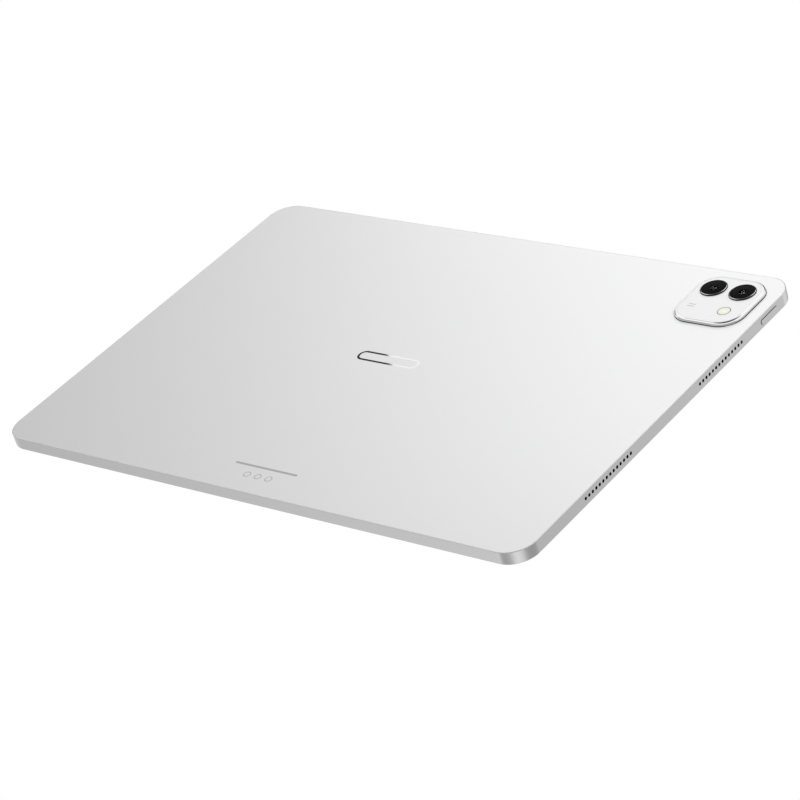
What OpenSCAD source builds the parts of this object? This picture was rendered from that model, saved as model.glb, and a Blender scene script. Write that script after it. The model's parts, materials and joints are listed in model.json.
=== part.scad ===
// Tablet computer, screen down: Z = 0 is the face of the front glass and +Z points out of the back.
// X runs along the long side, Y along the short side, and the camera is at the +X +Y corner.

/* [Body] */
// Length of the body along X
body_l = 293.88; // [292:0.01:298]
// Width of the body along Y
body_w = 201.38; // [201:0.01:206]
// Thickness of the body without the camera
body_t = 5.79; // [5.75:0.01:6.2]
// Plan radius of the body's corners
corner_r = 11.5; // [10.5:0.25:12]
// Radius that rounds the outer edges of the frame
edge_r = 0.25; // [0.15:0.05:0.25]
// Thickness of the frame's wall
wall = 2.2; // [2:0.1:2.3]
// Thickness of the rear cover
cover_t = 0.6; // [0.5:0.05:0.6]
// Thickness of the front glass
glass_t = 0.55; // [0.45:0.05:0.55]

/* [Camera] */
// Side of the square camera platform
bump_w = 34.1; // [33.5:0.1:35]
// Plan radius of the platform's corners
bump_r = 10; // [9.5:0.5:11.5]
// Height of the platform above the back
bump_h = 1.75; // [1.7:0.05:2]
// Distance from the platform to the edges of the body
bump_margin = 6.3; // [6.1:0.1:7.5]
// Outer diameter of a lens ring
lens_d = 12.1; // [11.9:0.1:12.5]
// Height of a lens ring above the back
lens_h = 2.41; // [2.4:0.01:2.6]
// Distance between the two lenses
lens_pitch = 14.7; // [14.6:0.02:15]
// Distance from the middle of the platform to the line of the lenses
lens_row = 6.85; // [6.6:0.05:7.2]
// Diameter of the flash window
flash_d = 6; // [5.5:0.1:6.5]
// Travel of the focusing lens
focus_travel = 0.3; // [0.2:0.05:0.35]

/* [Keys] */
// Length of the power button
power_l = 12.3; // [11.5:0.1:13.5]
// Place of the power button along Y
power_y = 78.2; // [76:0.1:80]
// Length of the volume rocker
volume_l = 23; // [22:0.5:24]
// Place of the volume rocker along X
volume_x = 91.5; // [90:0.5:93]
// Height of both keys
key_h = 2; // [1.8:0.1:2.4]
// How far both keys stand out of the frame
key_proud = 0.35; // [0.3:0.05:0.4]
// Gap round each key
key_gap = 0.24; // [0.1:0.02:0.24]

/* [Sound] */
// Diameter of a sound hole
hole_d = 1.5; // [1:0.05:1.55]
// Number of sound holes in one row
hole_count = 14; // [10:1:14]
// Distance between sound holes
hole_pitch = 2.432; // [2.2:0.002:2.44]
// Distance from the middle of the short side to the middle of a row
grille_y = 41.05; // [40:0.05:42]

/* [Display] */
// Diagonal of the lit area
screen_diagonal = 337.8; // [335:0.1:338]
// Width of the lit area divided by its height
screen_ratio = 1.5; // [1.5:0.001:1.502]

/* [Hidden] */
$fn = 64;
half_l = body_l / 2;
half_w = body_w / 2;
inner_x = half_l - wall;
inner_y = half_w - wall;

// Heights of the layers, from the glass to the rear cover
gasket_t = 0.1;
seat_z = glass_t + gasket_t;
panel_t = 0.4;
films_z = glass_t + panel_t;
films_t = 0.25;
guide_z = films_z + films_t;
guide_t = 0.4;
tray_z = guide_z + guide_t;
tray_t = 0.15;
plate_z = tray_z + tray_t + 0.1;
plate_t = 0.3;
floor_z = plate_z + plate_t;
roof_z = body_t - cover_t;

// Seats of the glass and the rear cover in the frame
glass_inset = 0.95;
cover_inset = 0.3;
seat_gap = 0.05;

// Display
lit_h = screen_diagonal / sqrt(1 + pow(screen_ratio, 2));
lit_l = lit_h * screen_ratio;
panel_l = lit_l + 2.4;
panel_w = lit_h + 3.1;
tray_wall = 0.2;
led_w = 2;
led_board_t = 0.15;
guide_inset = 0.3;

// Camera platform
bump_x = half_l - bump_margin - bump_w / 2;
bump_y = half_w - bump_margin - bump_w / 2;
bump_z = body_t + bump_h;
lens_z = body_t + lens_h;
ring_rim = 1.5;
ring_round = 1.45;
ring_ledge = 0.8;
ring_flange = [0.5, 0.3];
ring_gap = 0.12;
deck_t = 0.6;
deck_drop = 0.02;
deck_top = bump_z - deck_drop;
deck_z = deck_top - deck_t;
lens_shank_d = lens_d - 1;
lens_glass_d = lens_d - 1.5;
lens_bore_d = lens_d - 2.9;
lens_glass_t = 0.35;
lens_glass_drop = 0.1;
lens_glass_z = lens_z - lens_glass_drop - lens_glass_t;
main_lens = [bump_x - lens_pitch / 2, bump_y + lens_row];
aux_lens = [bump_x + lens_pitch / 2, bump_y + lens_row];
lens_chamfer = 0.2;
lens_shank_z = deck_z - 0.25;
flash = [bump_x + 7.1, bump_y - 7.45];
flash_board = [7.6, 7.6, 0.35];
flash_chip = [2.4, 2.4, 0.13];
camera_corner_r = 2;
main_camera_w = 11.2;
main_camera_top = deck_z - 0.35;
aux_camera_w = 11;
aux_camera_top = roof_z;
barrel_d = 7.4;
barrel_z = floor_z + 1.75;
barrel_top = deck_z;
coil_d = 8.2;
coil_z = barrel_z + focus_travel;
coil_h = 1.4;
front_camera_y = inner_y - 1.6;

// Marks on the rear cover
mark_l = 34;
mark_w = 6.8;
mark_stroke = 1.1;
mark_depth = 0.1;
print_y = -half_w + 11;
print_rings_d = [3.5, 2.7];
print_rings_pitch = 6.1;
print_bar = [35, 1.2];
print_bar_y = -half_w + 16.8;
deck_print_at = [bump_x - 9.8, bump_y - 7.6];
deck_print_bars = [3.6, 0.5];
deck_print_pitch = 1.5;

// Keys: X is measured outwards from the face of the frame
key_z = 2.76;
key_slot_depth = 1.3;
key_pocket_grow = [2.4, 1.4];
key_flange_grow = [1.6, 0.8];
power_flange = [-1.85, -1.35];
rocker_flange = [-2.1, -1.62];
rocker_notch = [0.5, 1.5];
pad_d = 1.6;
pad_reach = 7.5;
press_z = 0.5;
power_pad_x = -2.45;
rocker_pad_x = -2.35;
pivot_x = -2.5;
pivot_d = 1;
pivot_low = -0.5;
pivot_high = 1;
stem_d = 1.5;
stem_front = -2.47;
stem_back = -3.3;
rocker_stem_front = -2.51;
switch_front = -2.85;
switch_back = -3.85;
switch_w = 3.5;
switch_low = -0.6;
switch_high = 1.65;
flex_back = -3.97;
flex_low_z = 2.4;
bracket_front = -4;
bracket_t = 0.3;
bracket_top = 1.75;
bracket_foot = 4;
bracket_back = bracket_front - bracket_t;
foot_x = bracket_back - 2;
foot_inset = 2.2;
power_bracket = 9;
rocker_bracket = 12.5;

// Sound
hole_z = 3.05;
mic_hole_d = 0.7;
mic_x = [-75, 60];
mic_size = [3.5, 1, 2.2];
mesh_size = [0.2, 33.2, 1.7];
speaker_size = [22, 34, 2.6];
speaker_shell = 0.4;
speaker_z = floor_z + 0.15;
speaker_x = inner_x - mesh_size[0] - 0.1 - speaker_size[0] / 2;
speaker_top_z = speaker_z + speaker_size[2];
speaker_duct = [32, 1.3];
ear_w = 4;
ear_low_z = speaker_z + 0.45;
ear_top_z = speaker_z + 1.25;
ear_reach = speaker_size[1] / 2 + 1.6;
ear_hole_y = ear_reach + 0.3;
diaphragm_z = speaker_z + 1.65;
diaphragm_t = 0.15;
voice_coil_h = 0.65;

// Port
port_z = 3.42;
port_size = [8.94, 3.16];
port_wall = 0.3;
port_l = 7.3;
port_recess = 0.2;
port_gap = 0.1;
tongue_inset = 0.5;
tongue_size = [6.69, 0.7];

// Battery: two cells with their contact tabs towards +Y
cell_size = [113, 116.5, 2.7];
cell_x = 3;
cell_y = -94.5;
cell_r = 3;
terrace_l = 4;
terrace_inset = 14;
battery_board_y = cell_y + cell_size[1] + terrace_l + 0.2;
battery_board_size = [90, 4, 0.6];

// Circuit boards
board_low = [-45, 36];
board_high = [103, 92];
board_z = 3.15;
board_t = 0.7;
board_top = board_z + board_t;
chip_h = 0.9;
can_h = 1.15;
can_wall = 0.15;
connector_h = 0.9;
flex_t = 0.1;
flex_z = board_top + connector_h;
sub_board_z = 3;
sub_board_t = 0.6;
sub_board_x = -122.5;
sub_board_w = 28;

// Screws: diameter of the thread, of its hole in a boss and of the hole in the part that it holds
thread_d = 1.4;
tapped_d = 1.5;
clear_d = 1.6;
head_d = 2.6;
head_h = 0.6;
boss_d = 3;
board_screws = [[-41.5, 39.5], [-41.5, 88.9], [30, 39.5], [30, 88.9], [99.5, 39.5], [99.5, 88.9]];
sub_screws = [[-127, -11], [-127, 11]];
display_plug_x = 50;
display_flex_w = 11;

// Rectangle with round corners, centred
module rounded_rect(l, w, r) {
    square([l - 2 * r, w], center = true);
    square([l, w - 2 * r], center = true);
    for (sx = [-1, 1], sy = [-1, 1])
        translate([sx * (l / 2 - r), sy * (w / 2 - r)]) circle(r);
}

// Stadium along X, centred
module stadium(l, w) {
    square([l - w, w], center = true);
    for (s = [-1, 1])
        translate([s * (l - w) / 2, 0]) circle(w / 2);
}

// Plate with round corners, from height z0 to z1
module plate(l, w, r, z0, z1) {
    translate([0, 0, z0]) linear_extrude(z1 - z0) rounded_rect(l, w, r);
}

// The body's own outline, moved inwards by an inset, from height z0 to z1
module body_plate(inset, z0, z1) {
    plate(body_l - 2 * inset, body_w - 2 * inset, corner_r - inset, z0, z1);
}

// Block between two corners
module block(low, high) {
    translate(low) cube(high - low);
}

// Cylinder that stands at [x, y], from height z0 to z1
module post(at, d, z0, z1) {
    translate([at[0], at[1], z0]) cylinder(d = d, h = z1 - z0);
}

// Sweeps a profile round a rectangle with round corners. The profile's X is r at the outer face.
module rim_sweep(l, w, r) {
    for (quarter = [0:3]) {
        across = quarter % 2 == 0 ? l : w;
        along = quarter % 2 == 0 ? w : l;
        rotate([0, 0, 90 * quarter]) translate([across / 2 - r, along / 2 - r, 0]) {
            rotate_extrude(angle = 90) children();
            rotate([90, 0, 0]) linear_extrude(along - 2 * r) children();
        }
    }
}

// Prism with a stadium section that runs along X from x0 to x1
module key_prism(l, h, x0, x1) {
    translate([x0, 0, 0]) rotate([90, 0, 90]) linear_extrude(x1 - x0) stadium(l, h);
}

// Round pad that runs along X from x0 to x1, level with the middle of the switches
module key_pad(d, x0, x1) {
    translate([x0, 0, press_z]) rotate([0, 90, 0]) cylinder(d = d, h = x1 - x0);
}

// Frame of reference of each key: +X points out of the frame and Y runs along it
module at_power() {
    translate([half_l, power_y, key_z]) children();
}

module at_volume() {
    translate([volume_x, half_w, key_z]) rotate([0, 0, 90]) children();
}

// Frame of reference of speaker n: +X points out of the nearer short side
function speaker_side(n) = n <= 2 ? 1 : -1;
function speaker_row(n) = n % 2 == 1 ? 1 : -1;

module at_speaker(n) {
    mirror([speaker_side(n) < 0 ? 1 : 0, 0, 0])
        translate([speaker_x, speaker_row(n) * grille_y, 0]) children();
}

// Section of the frame: a wall with round outer edges and a seat at each face
module frame_section() {
    difference() {
        translate([corner_r, 0]) union() {
            translate([-wall, 0]) square([wall - edge_r, body_t]);
            translate([-wall, edge_r]) square([wall, body_t - 2 * edge_r]);
            for (z = [edge_r, body_t - edge_r])
                translate([-edge_r, z]) circle(edge_r);
        }
        translate([corner_r - wall - 1, -1]) square([wall + 1 - glass_inset + seat_gap, seat_z + 1]);
        translate([corner_r - wall - 1, roof_z]) square([wall + 1 - cover_inset + seat_gap, cover_t + 1]);
    }
}

// Place of sound hole i along a row
function hole_y(row, i) = row * grille_y + (i - (hole_count - 1) / 2) * hole_pitch;

module key_opening(l) {
    key_prism(l + 2 * key_gap, key_h + 2 * key_gap, -key_slot_depth - 0.1, 1);
    key_prism(l + key_pocket_grow[0], key_h + key_pocket_grow[1], -wall - 1, -key_slot_depth);
}

module side_frame() color("silver") {
    difference() {
        rim_sweep(body_l, body_w, corner_r) frame_section();
        at_power() key_opening(power_l);
        at_volume() key_opening(volume_l);
        for (side = [-1, 1], row = [-1, 1], i = [0:hole_count - 1])
            translate([side * (half_l - wall / 2), hole_y(row, i), hole_z])
                rotate([0, 90, 0]) cylinder(d = hole_d, h = wall + 2, center = true);
        for (x = mic_x)
            translate([x, half_w - wall / 2, hole_z])
                rotate([90, 0, 0]) cylinder(d = mic_hole_d, h = wall + 2, center = true);
        translate([-half_l, 0, port_z])
            key_prism(port_size[0] + 2 * port_gap, port_size[1] + 2 * port_gap, -1, wall + 1);
    }
}

module rear_cover() color("whitesmoke") {
    hole_w = bump_w + 2 * ring_gap;
    difference() {
        body_plate(cover_inset, roof_z, body_t);
        translate([bump_x, bump_y, 0])
            plate(hole_w, hole_w, bump_r + ring_gap, roof_z - 1, body_t + 1);
        translate([0, 0, body_t - mark_depth]) linear_extrude(1) {
            mark_outline();
            back_print();
        }
    }
}

// Closed loop with the outline of a stadium
module mark_outline() {
    difference() {
        stadium(mark_l, mark_w);
        stadium(mark_l - 2 * mark_stroke, mark_w - 2 * mark_stroke);
    }
}

module centre_mark() color("lightgrey") {
    translate([0, 0, body_t - mark_depth]) linear_extrude(mark_depth) mark_outline();
}

// Print on the back: a bar above three small rings
module back_print() {
    translate([0, print_bar_y]) stadium(print_bar[0], print_bar[1]);
    for (i = [-1, 0, 1])
        translate([i * print_rings_pitch, print_y]) difference() {
            circle(d = print_rings_d[0]);
            circle(d = print_rings_d[1]);
        }
}

// Print on the camera deck: two short bars
module deck_print() {
    for (i = [0, 1])
        translate([deck_print_at[0], deck_print_at[1] + i * deck_print_pitch])
            stadium(deck_print_bars[0], deck_print_bars[1]);
}

// Ink that fills shallow recesses in the rear cover and the deck
module printed_marks() color("darkgrey") {
    translate([0, 0, body_t - mark_depth]) linear_extrude(mark_depth) back_print();
    translate([0, 0, deck_top - mark_depth]) linear_extrude(mark_depth) deck_print();
}

// Section of the platform's ring: flange under the rear cover, wall, round edge, rim and the deck's ledge
module ring_section() {
    ledge = bump_r - ring_rim - ring_ledge;
    polygon([
        [ledge, roof_z - ring_flange[1]],
        [bump_r + ring_flange[0], roof_z - ring_flange[1]],
        [bump_r + ring_flange[0], roof_z],
        [bump_r, roof_z],
        [bump_r, bump_z - ring_round],
        [bump_r - ring_round, bump_z - ring_round],
        [bump_r - ring_round, bump_z],
        [bump_r - ring_rim, bump_z],
        [bump_r - ring_rim, deck_z],
        [ledge, deck_z],
    ]);
    translate([bump_r - ring_round, bump_z - ring_round]) intersection() {
        circle(ring_round);
        square(ring_round);
    }
}

module camera_ring() color("silver") {
    translate([bump_x, bump_y, 0]) rim_sweep(bump_w, bump_w, bump_r) ring_section();
}

module camera_deck() color("white") {
    inset = ring_rim + seat_gap;
    difference() {
        translate([bump_x, bump_y, 0])
            plate(bump_w - 2 * inset, bump_w - 2 * inset, bump_r - inset, deck_z, deck_top);
        for (at = [main_lens, aux_lens])
            post(at, lens_shank_d + 0.1, deck_z - 1, deck_top + 1);
        post(flash, flash_d + 0.1, deck_z - 1, deck_top + 1);
        translate([0, 0, deck_top - mark_depth]) linear_extrude(1) deck_print();
    }
}

module lens_ring(at) color("dimgray") {
    translate([at[0], at[1], 0]) rotate_extrude() polygon([
        [lens_bore_d / 2, lens_shank_z],
        [lens_shank_d / 2, lens_shank_z],
        [lens_shank_d / 2, deck_top],
        [lens_d / 2, deck_top],
        [lens_d / 2, lens_z - lens_chamfer],
        [lens_d / 2 - lens_chamfer, lens_z],
        [lens_glass_d / 2 + seat_gap, lens_z],
        [lens_glass_d / 2 + seat_gap, lens_glass_z],
        [lens_bore_d / 2, lens_glass_z],
    ]);
}

module lens_cover(at) color("black") {
    post(at, lens_glass_d, lens_glass_z, lens_glass_z + lens_glass_t);
}

module flash_lens() color("lemonchiffon") {
    post(flash, flash_d, deck_z + 0.15, deck_top);
}

module flash_led() color("khaki") {
    translate([flash[0], flash[1], deck_z]) {
        translate([-flash_board[0] / 2, -flash_board[1] / 2, -flash_board[2]]) cube(flash_board);
        translate([-flash_chip[0] / 2, -flash_chip[1] / 2, 0]) cube(flash_chip);
    }
}

// Flange inside the frame that keeps a key from falling out
module key_flange(l, x) {
    key_prism(l + key_flange_grow[0], key_h + key_flange_grow[1], x[0], x[1]);
}

module power_button() color("silver") {
    at_power() {
        key_prism(power_l, key_h, power_flange[1], key_proud);
        key_flange(power_l, power_flange);
        key_pad(pad_d, power_pad_x, power_flange[0]);
    }
}

// Body of a key switch, behind the key
module switch_body() {
    block([switch_back, -switch_w / 2, switch_low], [switch_front, switch_w / 2, switch_high]);
}

module power_switch() color("dimgray") {
    at_power() difference() {
        switch_body();
        key_pad(stem_d + 0.12, switch_back + 0.1, switch_front + 1);
    }
}

module power_switch_stem() color("black") {
    at_power() key_pad(stem_d, stem_back, stem_front);
}

module volume_rocker() color("silver") {
    at_volume() {
        key_prism(volume_l, key_h, rocker_flange[1], key_proud);
        key_flange(volume_l, rocker_flange);
        for (s = [-1, 1])
            translate([0, s * pad_reach, 0]) key_pad(pad_d, rocker_pad_x, rocker_flange[0]);
        block([pivot_x, -pivot_d / 2, pivot_low], [rocker_flange[0], pivot_d / 2, pivot_high]);
        translate([pivot_x, 0, pivot_low]) cylinder(d = pivot_d, h = pivot_high - pivot_low);
    }
}

module volume_switches() color("dimgray") {
    at_volume() for (s = [-1, 1])
        translate([0, s * pad_reach, 0]) {
            switch_body();
            key_pad(stem_d, switch_front, rocker_stem_front);
        }
}

// Steel angle behind a key: a wall that takes the press and a foot with two screw holes
module key_bracket(half) {
    low_z = floor_z - key_z;
    block([bracket_back, -half, low_z], [bracket_front, half, bracket_top]);
    difference() {
        block([bracket_back - bracket_foot, -half, low_z], [bracket_back, half, low_z + bracket_t]);
        for (s = [-1, 1])
            translate([foot_x, s * (half - foot_inset), low_z - 1]) cylinder(d = clear_d, h = 2);
    }
}

module key_brackets() color("lightsteelblue") {
    at_power() key_bracket(power_bracket);
    at_volume() {
        key_bracket(rocker_bracket);
        block([bracket_front, -0.7, pivot_low], [pivot_x - pivot_d / 2 - 0.02, 0.7, pivot_high]);
    }
}

module key_flex() color("goldenrod") {
    front = -switch_back + 0.02;
    low_x = volume_x - 10.5;
    difference() {
        translate([0, 0, flex_low_z]) linear_extrude(flex_z + flex_t - flex_low_z) intersection() {
            difference() {
                rounded_rect(body_l - 2 * front, body_w - 2 * front, corner_r - front);
                rounded_rect(body_l + 2 * flex_back, body_w + 2 * flex_back, corner_r + flex_back);
            }
            translate([low_x, power_y - 4]) square([half_l - low_x, half_w - power_y + 4]);
        }
        at_volume() block([-5, -1, -1.2], [0, 1, 1.2]);
    }
    block([84, 87, flex_z], [88, half_w - front, flex_z + flex_t]);
}

module usb_shell() color("lightgrey") {
    translate([-half_l + port_recess, 0, port_z]) difference() {
        key_prism(port_size[0], port_size[1], 0, port_l);
        key_prism(port_size[0] - 2 * port_wall, port_size[1] - 2 * port_wall, -1, port_l - port_wall);
    }
}

module usb_tongue() color("black") {
    translate([-half_l + port_recess, 0, port_z])
        block([tongue_inset, -tongue_size[0] / 2, -tongue_size[1] / 2],
              [port_l - port_wall, tongue_size[0] / 2, tongue_size[1] / 2]);
}

module sub_board() color("darkgreen") {
    notch = port_size[0] / 2 + 0.13;
    difference() {
        block([-inner_x + 0.3, -sub_board_w / 2, sub_board_z],
              [sub_board_x, sub_board_w / 2, sub_board_z + sub_board_t]);
        block([-inner_x, -notch, sub_board_z - 1],
              [-half_l + port_recess + port_l + 0.1, notch, sub_board_z + 2]);
        for (at = sub_screws)
            post(at, clear_d, sub_board_z - 1, sub_board_z + 2);
    }
    block([-126.5, -3, sub_board_z + sub_board_t], [-123, 3, flex_z]);
}

module sub_board_flex() color("goldenrod") {
    high = flex_z + flex_t;
    block([-126.5, -1.8, flex_z], [-117.2, 1.8, high]);
    block([-120.8, 1.8, flex_z], [-117.2, 34.5, high]);
    block([-117.2, 31, flex_z], [-50, 34.5, high]);
    block([-50, 31, flex_z], [-46.5, 52.3, high]);
    block([-46.5, 48.7, flex_z], [-40.3, 52.3, high]);
}

module speaker_box(n) color("dimgray") {
    size = speaker_size;
    shell = speaker_shell;
    at_speaker(n) {
        difference() {
            union() {
                block([-size[0] / 2, -size[1] / 2, speaker_z], [size[0] / 2, size[1] / 2, speaker_top_z]);
                for (s = [-1, 1])
                    block([-ear_w / 2, s * ear_reach - ear_w / 2, ear_low_z],
                          [ear_w / 2, s * ear_reach + ear_w / 2, ear_top_z]);
            }
            block([-size[0] / 2 + shell, -size[1] / 2 + shell, speaker_z + shell],
                  [size[0] / 2 - shell, size[1] / 2 - shell, speaker_top_z - shell]);
            block([0, -speaker_duct[0] / 2, speaker_z + shell],
                  [size[0], speaker_duct[0] / 2, speaker_z + speaker_duct[1]]);
            for (s = [-1, 1])
                post([0, s * ear_hole_y], clear_d, 0, body_t);
        }
        difference() {
            block([-6.7, -9.2, speaker_z + shell], [6.7, 9.2, diaphragm_z]);
            block([-5.5, -8, 0], [5.5, 8, body_t]);
        }
    }
}

// Moving part of a speaker: a stiff cone plate with its voice coil
module diaphragm(n) color("black") {
    at_speaker(n) {
        plate(10, 15, 2, diaphragm_z, diaphragm_z + diaphragm_t);
        difference() {
            plate(5.4, 8, 1, diaphragm_z - voice_coil_h, diaphragm_z);
            plate(4.6, 7.2, 0.6, diaphragm_z - voice_coil_h - 1, diaphragm_z);
        }
    }
}

module speaker_magnets() color("gray") {
    for (n = [1:4])
        at_speaker(n) {
            plate(9, 14, 1, speaker_z + speaker_shell, speaker_z + 0.6);
            plate(4, 6.6, 0.5, speaker_z + 0.6, speaker_z + 1.3);
        }
}

module speaker_meshes() color("black") {
    for (n = [1:4])
        at_speaker(n)
            translate([inner_x - mesh_size[0] - speaker_x, -mesh_size[1] / 2, hole_z - mesh_size[2] / 2])
                cube(mesh_size);
}

module microphones() color("gold") {
    for (x = mic_x)
        translate([x - mic_size[0] / 2, inner_y - 0.1 - mic_size[1], hole_z - 0.7]) cube(mic_size);
}

module front_glass() color("black") {
    body_plate(glass_inset, 0, glass_t);
}

module display_gasket() color("dimgray") {
    difference() {
        body_plate(glass_inset + 0.1, glass_t, seat_z);
        body_plate(wall, glass_t - 1, seat_z + 1);
    }
}

module lcd_panel() color("black") {
    plate(panel_l, panel_w, 1, glass_t, films_z);
}

module film_stack() color("white") {
    plate(panel_l - 0.5, panel_w - 0.5, 0.8, films_z, guide_z);
}

module light_guide() color("aliceblue") {
    block([-panel_l / 2 + guide_inset, -panel_w / 2 + led_w + guide_inset + 0.1, guide_z],
          [panel_l / 2 - guide_inset, panel_w / 2 - guide_inset, tray_z]);
}

module led_bar() color("yellow") {
    low_y = -panel_w / 2 + guide_inset;
    led_z = guide_z + led_board_t;
    block([-panel_l / 2 + guide_inset, low_y, guide_z], [panel_l / 2 - guide_inset, low_y + led_w, led_z]);
    for (i = [-23:23])
        block([i * 6 - 1.9, low_y + 0.8, led_z], [i * 6 + 1.9, low_y + led_w, tray_z]);
}

module backlight_tray() color("silver") {
    difference() {
        plate(panel_l + 2 * tray_wall, panel_w + 2 * tray_wall, 1, films_z, tray_z + tray_t);
        plate(panel_l, panel_w, 0.8, films_z - 1, tray_z);
    }
}

module front_camera() color("black") {
    post([0, front_camera_y], 2.4, glass_t, floor_z + 0.15);
    block([-3.2, inner_y - 6.3, floor_z + 0.15], [3.2, inner_y - 0.1, floor_z + 2.65]);
}

// Boss with a blind tapped hole, from the support plate up to a height
module boss(at, top) {
    difference() {
        post(at, boss_d, plate_z + 0.1, top);
        post(at, tapped_d, floor_z, top + 1);
    }
}

// Places of the holes in the feet of the two key brackets
module at_foot_holes() {
    for (s = [-1, 1]) {
        at_power() translate([foot_x, s * (power_bracket - foot_inset), 0]) children();
        at_volume() translate([foot_x, s * (rocker_bracket - foot_inset), 0]) children();
    }
}

// Places of the holes in the speakers' ears
module at_ear_holes() {
    for (n = [1:4], s = [-1, 1])
        at_speaker(n) translate([0, s * ear_hole_y, 0]) children();
}

module mid_plate() color("lightsteelblue") {
    difference() {
        body_plate(wall, plate_z, floor_z);
        post([0, front_camera_y], 2.8, 0, body_t);
        block([-half_l, -4.8, 0], [-half_l + port_recess + port_l + 0.3, 4.8, body_t]);
        block([display_plug_x - 6.5, 33.2, 0], [display_plug_x + 6.5, 34.6, body_t]);
        at_volume() block([-wall - rocker_notch[0], -volume_l / 2 - rocker_notch[1], -key_z],
                          [0, volume_l / 2 + rocker_notch[1], 0]);
        at_foot_holes() cylinder(d = tapped_d, h = body_t, center = true);
    }
    for (at = board_screws)
        boss(at, board_z);
    for (at = sub_screws)
        boss(at, sub_board_z);
    at_ear_holes() boss([0, 0], ear_low_z);
}

// Pouch cell with its thin welded edge and two contact tabs
module battery_cell(side) color("darkslategray") {
    mirror([side < 0 ? 1 : 0, 0, 0]) translate([cell_x, cell_y, floor_z]) {
        translate([cell_size[0] / 2, cell_size[1] / 2, 0])
            plate(cell_size[0], cell_size[1], cell_r, 0, cell_size[2]);
        block([terrace_inset, cell_size[1], 0.9],
              [cell_size[0] - terrace_inset, cell_size[1] + terrace_l, 1.4]);
        for (x = [18, 30])
            block([x, cell_size[1] + terrace_l, 0.9], [x + 4, cell_size[1] + terrace_l + 2, 1]);
    }
}

module battery_board() color("darkgreen") {
    low_z = floor_z + 1;
    translate([-battery_board_size[0] / 2, battery_board_y, low_z]) cube(battery_board_size);
    for (x = [-30:12:30])
        block([x - 2, battery_board_y + 1, low_z + 0.6], [x + 2, battery_board_y + 3, low_z + 1.2]);
    block([6, battery_board_y + 4, low_z + 0.4], [10, board_low[1] - 0.4, low_z + 0.5]);
    block([6, board_low[1] - 0.5, low_z + 0.5], [10, board_low[1] - 0.4, flex_z]);
    block([6, board_low[1] - 0.5, flex_z], [10, 39.7, flex_z + flex_t]);
}

module main_board() color("darkgreen") {
    difference() {
        block([board_low[0], board_low[1], board_z], [board_high[0], board_high[1], board_top]);
        for (at = board_screws)
            post(at, clear_d, 0, body_t);
    }
}

// Chips as [x, y, length, width]
module chips() color("black") {
    places = [
        [62, 64, 15, 15], [48, 52, 6, 6], [76, 52, 8, 6], [44, 72, 5, 5], [77, 74, 7, 7],
        [10, 66, 13, 11.5], [4, 54, 6, 5], [20, 54, 7, 6], [-28, 70, 8, 8], [-20, 62, 5, 5],
    ];
    for (p = places)
        translate([p[0] - p[2] / 2, p[1] - p[3] / 2, board_top]) cube([p[2], p[3], chip_h]);
}

// Shield cans as [low x, low y, high x, high y]
module shield_cans() color("lightgrey") {
    places = [[37, 45, 85, 82], [-5, 47, 27, 78], [-38, 57, -13, 84]];
    for (p = places)
        difference() {
            block([p[0], p[1], board_top], [p[2], p[3], board_top + can_h]);
            block([p[0] + can_wall, p[1] + can_wall, board_top - 1],
                  [p[2] - can_wall, p[3] - can_wall, board_top + can_h - can_wall]);
        }
}

// Plugs along X and along Y, and two round aerial sockets
module board_connectors() color("black") {
    for (at = [[8, 38.5], [display_plug_x, 38.5], [86, 88.2]])
        block([at[0] - 5, at[1] - 1.2, board_top], [at[0] + 5, at[1] + 1.2, flex_z]);
    for (at = [[-41.5, 50.5], [99.5, 80], [99.5, 70]])
        block([at[0] - 1.2, at[1] - 3.5, board_top], [at[0] + 1.2, at[1] + 3.5, flex_z]);
    for (at = [[-41.5, 80], [99.5, 47]])
        post(at, 2, board_top, board_top + 0.45);
}

module display_flex() color("goldenrod") {
    low_x = display_plug_x - display_flex_w / 2;
    high_x = display_plug_x + display_flex_w / 2;
    edge_y = panel_w / 2 + tray_wall + 0.05;
    low_z = tray_z + tray_t;
    block([low_x, panel_w / 2, glass_t], [high_x, edge_y + flex_t, glass_t + flex_t]);
    block([low_x, edge_y, glass_t + flex_t], [high_x, edge_y + flex_t, low_z]);
    block([low_x, 33.8, low_z], [high_x, edge_y + flex_t, low_z + flex_t]);
    block([low_x, 33.8, low_z + flex_t], [high_x, 33.8 + flex_t, flex_z]);
    block([low_x, 33.8, flex_z], [high_x, 39.7, flex_z + flex_t]);
}

module main_camera() color("dimgray") {
    translate([main_lens[0], main_lens[1], 0]) difference() {
        plate(main_camera_w, main_camera_w, camera_corner_r, floor_z + 0.15, main_camera_top);
        translate([0, 0, barrel_z - 0.15]) cylinder(d = coil_d + 0.4, h = body_t);
        block([-4.2, -3.2, floor_z + 0.9], [4.2, 3.2, barrel_z]);
    }
}

module lens_barrel() color("black") {
    translate([main_lens[0], main_lens[1], 0]) difference() {
        cylinder(d = barrel_d, h = barrel_top);
        translate([0, 0, -1]) cylinder(d = barrel_d + 1, h = barrel_z + 1);
        translate([0, 0, barrel_top - 0.5]) cylinder(d1 = 3.6, d2 = 5, h = 0.51);
    }
}

module focus_coil() color("peru") {
    difference() {
        post(main_lens, coil_d, coil_z, coil_z + coil_h);
        post(main_lens, barrel_d, 0, body_t);
    }
}

module aux_camera() color("dimgray") {
    translate([aux_lens[0], aux_lens[1], 0]) {
        plate(aux_camera_w, aux_camera_w, camera_corner_r, floor_z + 0.15, aux_camera_top);
        difference() {
            cylinder(d = 6.8, h = deck_z + 0.1);
            translate([0, 0, -1]) cylinder(d = 8, h = aux_camera_top + 1);
            translate([0, 0, deck_z - 0.4]) cylinder(d1 = 3.2, d2 = 4.6, h = 0.51);
        }
    }
}

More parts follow.
